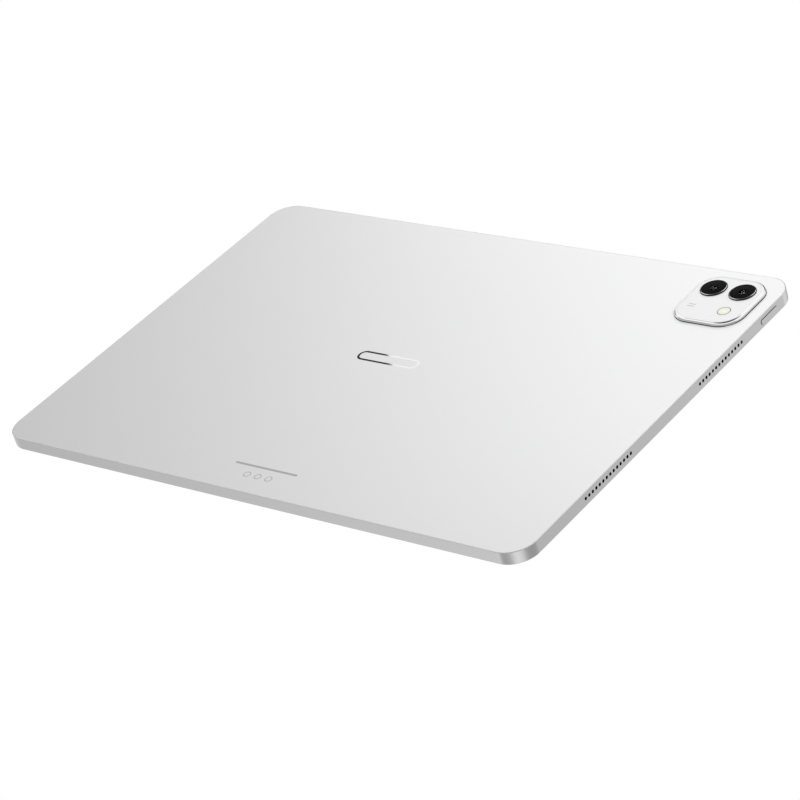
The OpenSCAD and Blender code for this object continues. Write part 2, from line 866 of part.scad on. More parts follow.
module camera_flexes() color("goldenrod") {
    high = flex_z + flex_t;
    block([98.3, 77.5, flex_z], [main_lens[0] - main_camera_w / 2, 82.5, high]);
    block([98.3, 67.5, flex_z], [aux_lens[0] + 3, 72, high]);
    block([aux_lens[0] - 3, 72, flex_z], [aux_lens[0] + 3, aux_lens[1] - aux_camera_w / 2, high]);
}

// Screw with a flat head, from the end of its thread up to the face that it clamps
module screw(low, face) {
    translate([0, 0, low]) cylinder(d = thread_d, h = face - low);
    difference() {
        translate([0, 0, face]) cylinder(d = head_d, h = head_h);
        for (a = [0, 90])
            rotate([0, 0, a]) block([-0.8, -0.15, face + 0.25], [0.8, 0.15, face + 1]);
    }
}

module screws() color("gray") {
    for (at = board_screws)
        translate([at[0], at[1], 0]) screw(floor_z + 0.1, board_top);
    for (at = sub_screws)
        translate([at[0], at[1], 0]) screw(floor_z + 0.1, sub_board_z + sub_board_t);
    at_ear_holes() screw(floor_z + 0.1, ear_top_z);
    at_foot_holes() translate([0, 0, -key_z]) screw(plate_z, floor_z + bracket_t);
}

module cover_magnets() color("gray") {
    for (side = [-1, 1], i = [0:3])
        translate([side * (20 + 26 * i), -inner_y + 0.2, floor_z + 0.1]) block([-6, 0, 0], [6, 2.8, 1.8]);
}

module stylus_coil() color("peru") {
    translate([-40, inner_y - 1.8, floor_z + 1.2]) difference() {
        block([-20, -1.6, -1], [20, 1.6, 1]);
        block([-17.5, -0.6, -2], [17.5, 0.6, 2]);
    }
}

// Round cable through a list of points, with a slightly thicker joint at each bend
module cable(points, d) {
    for (i = [0:len(points) - 2]) {
        run = points[i + 1] - points[i];
        flat = norm([run[0], run[1]]);
        translate(points[i]) rotate([0, atan2(flat, run[2]), atan2(run[1], run[0])])
            cylinder(d = d, h = norm(run));
    }
    for (i = [1:len(points) - 2])
        translate(points[i]) sphere(d = d + 0.12);
}

module antennas() color("tan") {
    film_z = roof_z - 0.5;
    block([-136, 92, film_z], [-86, 96, film_z + 0.4]);
    block([86, -98, film_z], [136, -94.7, film_z + 0.4]);
    cable([[-88, 94, film_z], [-88, 94, 4.1], [-60, 90, 4.1], [-41.5, 80.6, 4.65]], 0.7);
    cable([[119, -96, film_z], [119, -96, 3.4], [119, 36, 3.4], [107, 44, 4.65], [99.5, 47, 4.65]], 0.7);
}

side_frame();
rear_cover();
centre_mark();
printed_marks();
camera_ring();
camera_deck();
lens_ring(main_lens);  // main_lens_ring
lens_ring(aux_lens);  // aux_lens_ring
lens_cover(main_lens);  // main_lens_cover
lens_cover(aux_lens);  // aux_lens_cover
flash_lens();
flash_led();
power_button();
power_switch();
power_switch_stem();
volume_rocker();
volume_switches();
key_brackets();
key_flex();
usb_shell();
usb_tongue();
sub_board();
sub_board_flex();
speaker_box(1);  // speaker_box_1
speaker_box(2);  // speaker_box_2
speaker_box(3);  // speaker_box_3
speaker_box(4);  // speaker_box_4
diaphragm(1);  // diaphragm_1
diaphragm(2);  // diaphragm_2
diaphragm(3);  // diaphragm_3
diaphragm(4);  // diaphragm_4
speaker_magnets();
speaker_meshes();
microphones();
front_glass();
display_gasket();
lcd_panel();
film_stack();
light_guide();
led_bar();
backlight_tray();
front_camera();
mid_plate();
battery_cell(-1);  // battery_cell_1
battery_cell(1);  // battery_cell_2
battery_board();
main_board();
chips();
shield_cans();
board_connectors();
display_flex();
main_camera();
lens_barrel();
focus_coil();
aux_camera();
camera_flexes();
screws();
cover_magnets();
stylus_coil();
antennas();
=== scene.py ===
"""Looks of a tablet computer that lies on its screen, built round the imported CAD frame.

Units are metres. Sizes written in millimetres are multiplied by MM.
"""

import json
import math

import bmesh
import bpy
from mathutils import Matrix, Vector


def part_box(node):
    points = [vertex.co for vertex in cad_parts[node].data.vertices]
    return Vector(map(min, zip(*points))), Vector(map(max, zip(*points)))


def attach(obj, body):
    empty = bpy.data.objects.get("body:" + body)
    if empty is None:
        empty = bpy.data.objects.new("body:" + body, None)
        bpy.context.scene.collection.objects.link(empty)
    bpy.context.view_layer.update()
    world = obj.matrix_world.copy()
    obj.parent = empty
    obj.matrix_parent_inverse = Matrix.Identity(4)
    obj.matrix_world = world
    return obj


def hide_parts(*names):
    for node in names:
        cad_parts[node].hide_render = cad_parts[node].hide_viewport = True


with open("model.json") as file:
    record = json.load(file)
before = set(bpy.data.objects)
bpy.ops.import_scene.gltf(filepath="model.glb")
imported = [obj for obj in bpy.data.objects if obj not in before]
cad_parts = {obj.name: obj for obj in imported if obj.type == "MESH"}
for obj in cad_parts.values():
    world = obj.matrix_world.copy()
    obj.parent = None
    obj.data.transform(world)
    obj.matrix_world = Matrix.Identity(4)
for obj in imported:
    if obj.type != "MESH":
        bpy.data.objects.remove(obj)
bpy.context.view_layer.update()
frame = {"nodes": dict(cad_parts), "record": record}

MM = 0.001
NODES = frame["nodes"]
SLOT_OF = {part["node"]: part["material_slot"] for part in frame["record"]["subparts"]}
BODIES = frame["record"]["behaviour"]["bodies"]
BODY_OF = {node: body for body, members in BODIES.items() for node in members}


# ---------------------------------------------------------------- places, from the frame

def centre(node):
    low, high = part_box(node)
    return (low + high) / 2


def size(node):
    low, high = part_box(node)
    return high - low


BACK_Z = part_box("rear_cover")[1].z
DECK_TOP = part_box("camera_deck")[1].z
MAIN_LENS = centre("main_lens_cover")
AUX_LENS = centre("aux_lens_cover")
FLASH = centre("flash_lens")
FRAME_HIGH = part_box("side_frame")[1]
DECK = centre("camera_deck")
DECK_REACH = size("camera_deck").x / 2
# The front camera's optical axis lies this far inside the far edge of its box
FRONT_CAMERA_INSET = 1.5 * MM
FRONT_CAMERA_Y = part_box("front_camera")[1].y - FRONT_CAMERA_INSET


# ---------------------------------------------------------------- camera

# The camera's place as the photograph shows it: compass angle from -Y, height, roll, distance and aim
VIEW_AZIMUTH = math.radians(47.57)
VIEW_ELEVATION = math.radians(30.39)
VIEW_ROLL = math.radians(-17.55)
VIEW_DISTANCE = 1298.9 * MM
VIEW_RIGHT = -0.38 * MM
VIEW_UP = -13.13 * MM
LENS_MM = 135.01
SENSOR_MM = 36


def add_camera():
    """A camera that looks at the middle of the tablet's underside, from the photograph's angle."""
    back = Vector((
        math.sin(VIEW_AZIMUTH) * math.cos(VIEW_ELEVATION),
        -math.cos(VIEW_AZIMUTH) * math.cos(VIEW_ELEVATION),
        math.sin(VIEW_ELEVATION),
    ))
    right = Vector((math.cos(VIEW_AZIMUTH), math.sin(VIEW_AZIMUTH), 0))
    up = back.cross(right)
    x_axis = right * math.cos(VIEW_ROLL) + up * math.sin(VIEW_ROLL)
    y_axis = up * math.cos(VIEW_ROLL) - right * math.sin(VIEW_ROLL)
    place = back * VIEW_DISTANCE + right * VIEW_RIGHT + up * VIEW_UP
    data = bpy.data.cameras.new("camera")
    data.lens = LENS_MM
    data.sensor_width = SENSOR_MM
    data.clip_start = 0.01
    camera = bpy.data.objects.new("camera", data)
    turn = Matrix((x_axis, y_axis, back)).transposed().to_4x4()
    camera.matrix_world = Matrix.Translation(place) @ turn
    bpy.context.scene.collection.objects.link(camera)
    bpy.context.scene.camera = camera


# ---------------------------------------------------------------- materials

class Look:
    """A material with a Principled shader, and short ways to add texture nodes to it."""

    def __init__(self, name, colour, roughness=0.5, metallic=0.0, **sockets):
        self.material = bpy.data.materials.new(name)
        self.material.use_nodes = True
        self.tree = self.material.node_tree
        self.shader = self.tree.nodes["Principled BSDF"]
        self.coordinates = self.tree.nodes.new("ShaderNodeTexCoord").outputs["Object"]
        self.set("Base Color", (*colour, 1))
        self.set("Roughness", roughness)
        self.set("Metallic", metallic)
        for key, value in sockets.items():
            self.set(key.replace("_", " "), value)
        self.height = None

    def set(self, socket, value):
        self.shader.inputs[socket].default_value = value

    def link(self, output, socket):
        self.tree.links.new(output, socket)

    def math(self, operation, a, b=None):
        """One operation on one or two values, each of them a number or a node output."""
        node = self.tree.nodes.new("ShaderNodeMath")
        node.operation = operation
        for socket, value in zip(node.inputs, (a, b)):
            if isinstance(value, (int, float)):
                socket.default_value = value
            elif value is not None:
                self.link(value, socket)
        return node.outputs[0]

    def noise(self, scale, detail=2.0, stretch=(1, 1, 1)):
        """Noise from 0 to 1 with that many features a metre."""
        mapping = self.tree.nodes.new("ShaderNodeMapping")
        mapping.inputs["Scale"].default_value = stretch
        self.link(self.coordinates, mapping.inputs["Vector"])
        node = self.tree.nodes.new("ShaderNodeTexNoise")
        node.inputs["Scale"].default_value = scale
        node.inputs["Detail"].default_value = detail
        self.link(mapping.outputs["Vector"], node.inputs["Vector"])
        return node.outputs["Fac"]

    def cells(self, scale):
        """A random value for each small cell."""
        node = self.tree.nodes.new("ShaderNodeTexVoronoi")
        node.inputs["Scale"].default_value = scale
        self.link(self.coordinates, node.inputs["Vector"])
        split = self.tree.nodes.new("ShaderNodeSeparateColor")
        self.link(node.outputs["Color"], split.inputs["Color"])
        return split.outputs["Red"]

    def place(self):
        """Outputs X, Y and Z of a point's place, in metres."""
        node = self.tree.nodes.new("ShaderNodeSeparateXYZ")
        self.link(self.coordinates, node.inputs["Vector"])
        return node.outputs

    def waves(self, value, pitch):
        """A sine wave with that pitch in metres."""
        return self.math("SINE", self.math("MULTIPLY", value, 2 * math.pi / pitch))

    def spread(self, value, low, high):
        """Maps 0..1 to low..high."""
        node = self.tree.nodes.new("ShaderNodeMapRange")
        node.inputs["To Min"].default_value = low
        node.inputs["To Max"].default_value = high
        self.link(value, node.inputs["Value"])
        return node.outputs["Result"]

    def step(self, value, edge, softness):
        """0 below the edge and 1 above it."""
        node = self.tree.nodes.new("ShaderNodeMapRange")
        node.interpolation_type = "SMOOTHSTEP"
        node.inputs["From Min"].default_value = edge - softness / 2
        node.inputs["From Max"].default_value = edge + softness / 2
        self.link(value, node.inputs["Value"])
        return node.outputs["Result"]

    def mix(self, factor, a, b):
        """Colour a where the factor is 0 and colour b where it is 1."""
        node = self.tree.nodes.new("ShaderNodeMix")
        node.data_type = "RGBA"
        self.link(factor, node.inputs["Factor"])
        for socket, value in ((node.inputs["A"], a), (node.inputs["B"], b)):
            if isinstance(value, tuple):
                socket.default_value = (*value, 1)
            else:
                self.link(value, socket)
        return node.outputs["Result"]

    def colour(self, output):
        self.link(output, self.shader.inputs["Base Color"])

    def roughness(self, value, low, high):
        self.link(self.spread(value, low, high), self.shader.inputs["Roughness"])

    def bump(self, value, height, strength=1.0):
        """Raises the surface by up to height metres. Several bumps add up."""
        node = self.tree.nodes.new("ShaderNodeBump")
        node.inputs["Strength"].default_value = strength
        node.inputs["Distance"].default_value = height
        self.link(value, node.inputs["Height"])
        if self.height is not None:
            self.link(self.height, node.inputs["Normal"])
        self.height = node.outputs["Normal"]
        self.link(self.height, self.shader.inputs["Normal"])

    def radius(self, at):
        """Distance from the vertical line through a point."""
        node = self.tree.nodes.new("ShaderNodeVectorMath")
        node.operation = "DISTANCE"
        flat = self.tree.nodes.new("ShaderNodeVectorMath")
        flat.operation = "MULTIPLY"
        flat.inputs[1].default_value = (1, 1, 0)
        self.link(self.coordinates, flat.inputs[0])
        self.link(flat.outputs["Vector"], node.inputs[0])
        node.inputs[1].default_value = (at[0], at[1], 0)
        return node.outputs["Value"]


def pearl_paint(name, colour):
    """Satin pearl paint: fine flakes in a clear coat, with a trace of orange peel."""
    look = Look(name, colour, 0.42, Coat_Weight=0.3, Coat_Roughness=0.22, Coat_IOR=1.5)
    flakes = look.cells(7000)
    pale = tuple(min(1.0, c * 1.015) for c in colour)
    deep = tuple(c * 0.985 for c in colour)
    look.colour(look.mix(flakes, deep, pale))
    look.roughness(look.noise(60, 4), 0.38, 0.46)
    look.bump(look.noise(900, 2), 0.002 * MM, 0.25)
    look.bump(flakes, 0.0015 * MM, 0.2)
    return look.material


def blasted_metal(name, colour, roughness, edge_shine=0.0):
    """Anodised metal with a fine blasted grain, slightly polished by handling along its edges."""
    look = Look(name, colour, roughness, 1.0)
    grain = look.noise(9000, 3)
    smudge = look.noise(45, 4)
    tone = tuple(c * 0.94 for c in colour)
    look.colour(look.mix(look.spread(smudge, 0.2, 0.8), tone, colour))
    worn = look.tree.nodes.new("ShaderNodeNewGeometry").outputs["Pointiness"]
    shine = look.math("MULTIPLY", look.step(worn, 0.54, 0.06), edge_shine)
    rough = look.spread(grain, roughness - 0.04, roughness + 0.05)
    look.link(look.math("SUBTRACT", rough, shine), look.shader.inputs["Roughness"])
    look.bump(grain, 0.004 * MM, 0.35)
    return look.material


def polish(name, colour, roughness):
    """Bright metal with hairlines and faint smudges, as a look that can take more nodes."""
    look = Look(name, colour, roughness, 1.0)
    look.roughness(look.noise(220, 4), roughness * 0.7, roughness * 1.5)
    look.bump(look.noise(3000, 2, (1, 1, 12)), 0.0008 * MM, 0.3)
    return look


def polished_metal(name, colour, roughness):
    return polish(name, colour, roughness).material


def ring_metal(name, colour, roughness):
    """Polished metal of the camera ring, with painted shade that turns it greyer towards the foot of its
    wall.
    """
    look = polish(name, colour, roughness)
    # Painted shade: the wall's colour falls to about a third towards its foot, where it meets the back.
    above = look.step(look.place()["Z"], BACK_Z + 0.6 * MM, 0.7 * MM)
    look.colour(look.mix(above, tuple(c * 0.35 for c in colour), colour))
    return look.material


def moulded_plastic(name, colour, roughness=0.5):
    """Plastic with a spark-eroded grain."""
    look = Look(name, colour, roughness)
    grain = look.noise(5000, 3)
    look.colour(look.mix(look.noise(400, 3), tuple(c * 0.85 for c in colour), colour))
    look.roughness(grain, roughness - 0.08, roughness + 0.1)
    look.bump(grain, 0.006 * MM, 0.5)
    return look.material


def printed_ink(name, colour):
    """Screen-printed ink, a little uneven."""
    look = Look(name, colour, 0.55)
    speck = look.noise(3500, 3)
    deep = tuple(c * 0.93 for c in colour)
    pale = tuple(min(1, c * 1.06) for c in colour)
    look.colour(look.mix(speck, deep, pale))
    look.roughness(speck, 0.45, 0.65)
    look.bump(speck, 0.002 * MM, 0.3)
    return look.material


def shaded_bore(name):
    """Painted shade: a dull near-black for the walls of holes and gaps, in place of the shade inside them.
    """
    look = Look(name, (0.004, 0.004, 0.004), 0.8, IOR=1.15)
    grain = look.noise(5000, 3)
    look.colour(look.mix(grain, (0.003, 0.003, 0.003), (0.007, 0.007, 0.007)))
    look.roughness(grain, 0.7, 0.9)
    look.bump(grain, 0.006 * MM, 0.5)
    return look.material


def woven_mesh(name):
    """Fine black acoustic mesh."""
    look = Look(name, (0.012, 0.012, 0.012), 0.8)
    place = look.place()
    weave = look.math("MULTIPLY", look.waves(place["Y"], 0.12 * MM), look.waves(place["Z"], 0.12 * MM))
    look.colour(look.mix(look.spread(weave, 0.3, 0.7), (0.006, 0.006, 0.006), (0.03, 0.03, 0.03)))
    look.bump(weave, 0.02 * MM, 0.8)
    return look.material


def board_laminate(name):
    """Green solder mask with the tracks showing through as faint ridges."""
    look = Look(name, (0.012, 0.09, 0.04), 0.35, Coat_Weight=0.4, Coat_Roughness=0.2)
    tracks = look.step(look.noise(900, 1, (1, 6, 1)), 0.55, 0.05)
    look.colour(look.mix(tracks, (0.012, 0.09, 0.04), (0.03, 0.16, 0.07)))
    look.roughness(look.noise(500, 2), 0.3, 0.42)
    look.bump(tracks, 0.02 * MM, 0.6)
    return look.material


def flex_film(name):
    """Amber film with copper tracks below it."""
    look = Look(name, (0.5, 0.24, 0.05), 0.35)
    tracks = look.step(look.noise(1800, 0, (1, 8, 1)), 0.5, 0.05)
    look.colour(look.mix(tracks, (0.5, 0.24, 0.05), (0.62, 0.34, 0.1)))
    look.roughness(look.noise(700, 2), 0.28, 0.42)
    look.bump(tracks, 0.01 * MM, 0.5)
    return look.material


def pouch_foil(name):
    """Black laminate foil of a pouch cell, slightly wrinkled."""
    look = Look(name, (0.035, 0.036, 0.04), 0.35, 0.6)
    wrinkles = look.noise(60, 4, (1, 3, 1))
    look.colour(look.mix(wrinkles, (0.03, 0.03, 0.034), (0.05, 0.051, 0.056)))
    look.roughness(wrinkles, 0.28, 0.45)
    look.bump(wrinkles, 0.1 * MM, 0.3)
    return look.material


def copper_winding(name):
    """Enamelled copper wire, wound in layers."""
    look = Look(name, (0.6, 0.25, 0.1), 0.3, 1.0)
    turns = look.waves(look.place()["Z"], 0.1 * MM)
    look.colour(look.mix(look.spread(turns, 0.2, 0.8), (0.45, 0.18, 0.07), (0.66, 0.29, 0.12)))
    look.roughness(turns, 0.25, 0.4)
    look.bump(turns, 0.02 * MM, 0.6)
    return look.material


def light_plastic(name):
    """Clear diffusing plastic with a dot pattern."""
    look = Look(name, (0.86, 0.87, 0.9), 0.3, Subsurface_Weight=0.2, Subsurface_Radius=(MM, MM, MM))
    dots = look.step(look.cells(900), 0.6, 0.1)
    look.colour(look.mix(dots, (0.84, 0.85, 0.88), (0.93, 0.94, 0.96)))
    look.roughness(look.noise(300, 2), 0.25, 0.4)
    look.bump(dots, 0.005 * MM, 0.4)
    return look.material


def phosphor(name):
    """Yellow phosphor of an LED."""
    look = Look(name, (0.85, 0.68, 0.16), 0.5)
    grain = look.noise(9000, 3)
    look.colour(look.mix(grain, (0.78, 0.6, 0.12), (0.9, 0.75, 0.22)))
    look.roughness(grain, 0.4, 0.6)
    look.bump(grain, 0.01 * MM, 0.5)
    return look.material


def clear_glass(name, at):
    """Coated cover glass: black print on its back, apart from a clear window in the middle."""
    look = Look(name, (0.003, 0.003, 0.0035), 0.02, IOR=1.07)
    radius = look.radius(at)
    window = look.math("SUBTRACT", 1.0, look.step(radius, 2.3 * MM, 0.2 * MM))
    outside = look.step(radius, 1.7 * MM, 0.8 * MM)
    look.colour(look.mix(outside, (0.85, 0.85, 0.87), (0.003, 0.003, 0.0035)))
    look.link(window, look.shader.inputs["Transmission Weight"])
    look.roughness(look.noise(150, 4), 0.01, 0.05)
    look.bump(look.noise(400, 2), 0.0004 * MM, 0.2)
    return look.material


def lens_element(name, tint):
    """Dark curved lens with a coloured antireflective film."""
    look = Look(name, (0.004, 0.004, 0.006), 0.04, IOR=1.18)
    look.set("Specular Tint", (*tint, 1))
    look.colour(look.mix(look.noise(300, 2), (0.003, 0.003, 0.005), (0.008, 0.007, 0.012)))
    look.roughness(look.noise(500, 2), 0.02, 0.06)
    look.bump(look.noise(400, 2), 0.0005 * MM, 0.2)
    return look.material


def flash_plastic(name):
    """Frosted flash window with a warm middle and moulded rings."""
    look = Look(name, (0.8, 0.8, 0.75), 0.3)
    radius = look.radius(FLASH)
    glow = look.step(radius, 1.3 * MM, 2.0 * MM)
    face = look.mix(glow, (0.8, 0.81, 0.64), (0.7, 0.705, 0.63))
    border = look.step(radius, size("flash_lens").x / 2 - 0.3 * MM, 0.06 * MM)
    look.colour(look.mix(border, face, (0.1, 0.1, 0.1)))
    look.roughness(look.noise(2500, 3), 0.25, 0.4)
    look.bump(look.waves(radius, 0.3 * MM), 0.03 * MM, 0.5)
    return look.material


def screen_glass(name):
    """Front glass: a black printed border, the switched-off panel behind it and the camera's window."""
    look = Look(name, (0.004, 0.004, 0.005), 0.03, IOR=1.45)
    panel = size("lcd_panel")
    place = look.place()
    past_x = look.step(look.math("ABSOLUTE", place["X"]), panel.x / 2 - 1.2 * MM, 0.02 * MM)
    past_y = look.step(look.math("ABSOLUTE", place["Y"]), panel.y / 2 - 1.55 * MM, 0.02 * MM)
    border = look.math("MAXIMUM", past_x, past_y)
    picture = look.mix(look.cells(12000), (0.011, 0.012, 0.016), (0.016, 0.017, 0.022))
    face = look.mix(border, picture, (0.003, 0.003, 0.0035))
    radius = look.radius((0, FRONT_CAMERA_Y))
    within = look.math("SUBTRACT", 1.0, look.step(radius, 1.2 * MM, 0.05 * MM))
    ring = look.math("MULTIPLY", look.step(radius, 0.75 * MM, 0.05 * MM), within)
    face = look.mix(ring, face, (0.03, 0.03, 0.034))
    pupil = look.math("SUBTRACT", 1.0, look.step(radius, 0.45 * MM, 0.2 * MM))
    look.colour(look.mix(pupil, face, (0.02, 0.025, 0.07)))
    look.roughness(look.noise(120, 5), 0.02, 0.06)
    look.bump(look.noise(300, 2), 0.0004 * MM, 0.2)
    return look.material


def gold_plate(name):
    """Gold plating of the port's contacts."""
    look = Look(name, (0.83, 0.6, 0.25), 0.22, 1.0)
    look.roughness(look.noise(3000, 3), 0.18, 0.3)
    look.bump(look.noise(6000, 2), 0.002 * MM, 0.3)
    return look.material


LOOKS = {
    "frame_metal": blasted_metal("frame_metal_look", (0.74, 0.74, 0.745), 0.28, 0.1),
    "key_metal": blasted_metal("key_metal_look", (0.74, 0.74, 0.745), 0.26, 0.1),
    "cover_paint": pearl_paint("cover_paint_look", (0.74, 0.74, 0.743)),
    "deck_paint": pearl_paint("deck_paint_look", (0.7, 0.7, 0.703)),
    "mark_mirror": polished_metal("mark_mirror_look", (0.8, 0.8, 0.81), 0.015),
    "ring_metal": ring_metal("ring_metal_painted_foot_shade_look", (0.86, 0.86, 0.865), 0.1),
    "lens_ring_metal": blasted_metal("lens_ring_metal_look", (0.018, 0.018, 0.02), 0.3),
    "print_ink": printed_ink("print_ink_look", (0.42, 0.42, 0.43)),
    "lens_glass": clear_glass("lens_glass_look", MAIN_LENS),
    "flash_window": flash_plastic("flash_window_look"),
    "led_phosphor": phosphor("led_phosphor_look"),
    "dark_plastic": moulded_plastic("dark_plastic_look", (0.02, 0.02, 0.021)),
    "speaker_plastic": moulded_plastic("speaker_plastic_look", (0.04, 0.04, 0.041), 0.6),
    "cone_plastic": moulded_plastic("cone_plastic_look", (0.025, 0.025, 0.028), 0.4),
    "camera_plastic": moulded_plastic("camera_plastic_look", (0.012, 0.012, 0.013), 0.55),
    "spring_steel": polished_metal("spring_steel_look", (0.55, 0.55, 0.56), 0.3),
    "magnet_metal": polished_metal("magnet_metal_look", (0.5, 0.5, 0.51), 0.25),
    "tray_metal": blasted_metal("tray_metal_look", (0.62, 0.62, 0.63), 0.4),
    "mesh_fabric": woven_mesh("mesh_fabric_look"),
    "flex_film": flex_film("flex_film_look"),
    "board_laminate": board_laminate("board_laminate_look"),
    "front_glass": screen_glass("front_glass_look"),
    "display_stack": moulded_plastic("display_stack_look", (0.012, 0.012, 0.014), 0.3),
    "optic_plastic": light_plastic("optic_plastic_look"),
    "cell_pouch": pouch_foil("cell_pouch_look"),
    "coil_winding": copper_winding("coil_winding_look"),
}
# Painted shade for the walls of holes and gaps, and for the foot of the camera ring
PAINTED_SHADE = shaded_bore("painted_shade_look")


# ---------------------------------------------------------------- pieces

# Points closer than this are one point
WELD = 1e-7
# Edges sharper than this many degrees are rounded, and edges sharper than the second stay crisp in shading
ROUNDED_EDGE = 35
CRISP_EDGE = 40


def smooth_by_angle(bm, degrees=CRISP_EDGE):
    """Shades the mesh smooth, apart from edges sharper than an angle."""
    for face in bm.faces:
        face.smooth = True
    for edge in bm.edges:
        edge.smooth = not edge.is_manifold or edge.calc_face_angle() < math.radians(degrees)


def add_piece(name, bm, slot, node=None, body="housing"):
    """Turns a bmesh into a piece that rides on a body, and stands for a CAD node if one is named."""
    mesh = bpy.data.meshes.new(name)
    bm.to_mesh(mesh)
    bm.free()
    piece = bpy.data.objects.new(name, mesh)
    bpy.context.scene.collection.objects.link(piece)
    mesh.materials.append(LOOKS[slot])
    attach(piece, body)
    if node:
        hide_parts(node)
    return piece


def even_shading(piece):
    """Keeps large flat faces flat beside small bevels."""
    modifier = piece.modifiers.new("even_shading", "WEIGHTED_NORMAL")
    modifier.keep_sharp = True
    modifier.weight = 80


def paint(piece, material):
    """Gives a piece another finish than its slot's."""
    piece.data.materials.clear()
    piece.data.materials.append(material)


def softened(node, width, segments=2):
    """A copy of a CAD node with small rounded edges, which stands for that node."""
    bm = bmesh.new()
    bm.from_mesh(NODES[node].data)
    bmesh.ops.remove_doubles(bm, verts=bm.verts, dist=WELD)
    bmesh.ops.dissolve_limit(bm, angle_limit=math.radians(0.2), verts=bm.verts, edges=bm.edges)
    edges = [e for e in bm.edges if e.is_manifold and e.calc_face_angle() > math.radians(ROUNDED_EDGE)]
    bmesh.ops.bevel(
        bm, geom=edges, offset=width, offset_type="OFFSET", segments=segments, profile=0.5,
        affect="EDGES", clamp_overlap=True,
    )
    smooth_by_angle(bm)
    piece = add_piece(f"{node}_detail", bm, SLOT_OF[node], node, BODY_OF[node])
    even_shading(piece)
    return piece


def lathe(name, profile, at, slot, node=None, body="housing", sharp=CRISP_EDGE):
    """A piece turned about the vertical line through a point. The profile is (radius, height) in mm."""
    bm = bmesh.new()
    rings = []
    steps = 96
    angles = [2 * math.pi * i / steps for i in range(steps)]
    for radius, height in profile:
        if radius == 0:
            rings.append([bm.verts.new((at.x, at.y, height * MM))])
            continue
        rings.append([
            bm.verts.new((at.x + radius * MM * math.cos(a), at.y + radius * MM * math.sin(a), height * MM))
            for a in angles
        ])
    for low, high in zip(rings, rings[1:]):
        for i in range(steps):
            j = (i + 1) % steps
            corners = [low[i % len(low)], low[j % len(low)], high[j % len(high)], high[i % len(high)]]
            corners = list(dict.fromkeys(corners))
            if len(corners) > 2:
                bm.faces.new(corners)
    bmesh.ops.remove_doubles(bm, verts=bm.verts, dist=WELD)
    bmesh.ops.recalc_face_normals(bm, faces=bm.faces)
    smooth_by_angle(bm, sharp)
    return add_piece(name, bm, slot, node, body)


def arc(centre_r, centre_z, radius, start, end, steps=4):
    """Points of a quarter bend in a lathe profile, angles in degrees."""
    angles = [math.radians(start + (end - start) * i / steps) for i in range(steps + 1)]
    return [(centre_r + radius * math.cos(a), centre_z + radius * math.sin(a)) for a in angles]


# ---------------------------------------------------------------- cameras

def dome(edge_r, edge_z, rise, steps=10):
    """Points of a shallow cap, from its edge to its middle."""
    radius = (edge_r ** 2 + rise ** 2) / (2 * rise)
    points = []
    for i in range(steps + 1):
        r = edge_r * (1 - i / steps)
        points.append((r, edge_z + math.sqrt(radius ** 2 - r ** 2) - (radius - rise)))
    return points


def add_cover_glass(name, node):
    """A lens cover: a clear disc with a polished edge and a black printed ring below it."""
    low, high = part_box(node)
    at = (low + high) / 2
    edge_r = (high.x - low.x) / 2 / MM
    bottom, top = low.z / MM, high.z / MM
    bevel = 0.08
    profile = [(0, bottom), (edge_r - bevel, bottom)]
    profile += arc(edge_r - bevel, bottom + bevel, bevel, -90, 0)
    profile += arc(edge_r - bevel, top - bevel, bevel, 0, 90)
    profile += [(0, top)]
    piece = lathe(f"{name}_glass", profile, at, "lens_glass", node)
    if node != "main_lens_cover":
        paint(piece, clear_glass(f"{name}_glass_look", at))


def add_lens(name, at, top, floor, radius, body, tint, node=None):
    """The stepped mouth of a lens barrel, with its curved front element. Heights and radii are in mm."""
    steps = [(radius, floor), (radius, top - 0.08)]
    steps += arc(radius - 0.08, top - 0.08, 0.08, 0, 90)
    lip, z = radius - 0.35, top
    for drop in (0.14, 0.12, 0.1, 0.1):
        steps += [(lip, z), (lip - 0.06, z - drop), (lip - 0.3, z - drop)]
        lip, z = lip - 0.3, z - drop
    steps += [(lip, z - 0.2), (0, z - 0.2), (0, floor), (radius, floor)]
    lathe(f"{name}_barrel", steps, at, "camera_plastic", node, body)
    element = dome(lip + 0.02, z - 0.12, 0.28) + [(0, z - 0.18), (lip + 0.02, z - 0.12)]
    piece = lathe(f"{name}_element", element, at, "lens_glass", None, body)
    paint(piece, lens_element(f"{name}_element_look", tint))


def add_cameras():
    add_cover_glass("main_lens", "main_lens_cover")
    add_cover_glass("aux_lens", "aux_lens_cover")
    low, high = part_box("lens_barrel")
    barrel_r = (high.x - low.x) / 2 / MM
    top, floor = high.z / MM, low.z / MM
    add_lens("main_lens", MAIN_LENS, top, floor, barrel_r, "focus_carriage", (0.55, 0.4, 1.0), "lens_barrel")
    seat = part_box("aux_camera")[1].z / MM
    mouth_r, mouth_height = 3.4, 0.55
    add_lens("aux_lens", AUX_LENS, seat + mouth_height, seat + 0.01, mouth_r, "housing", (0.4, 0.75, 1.0))


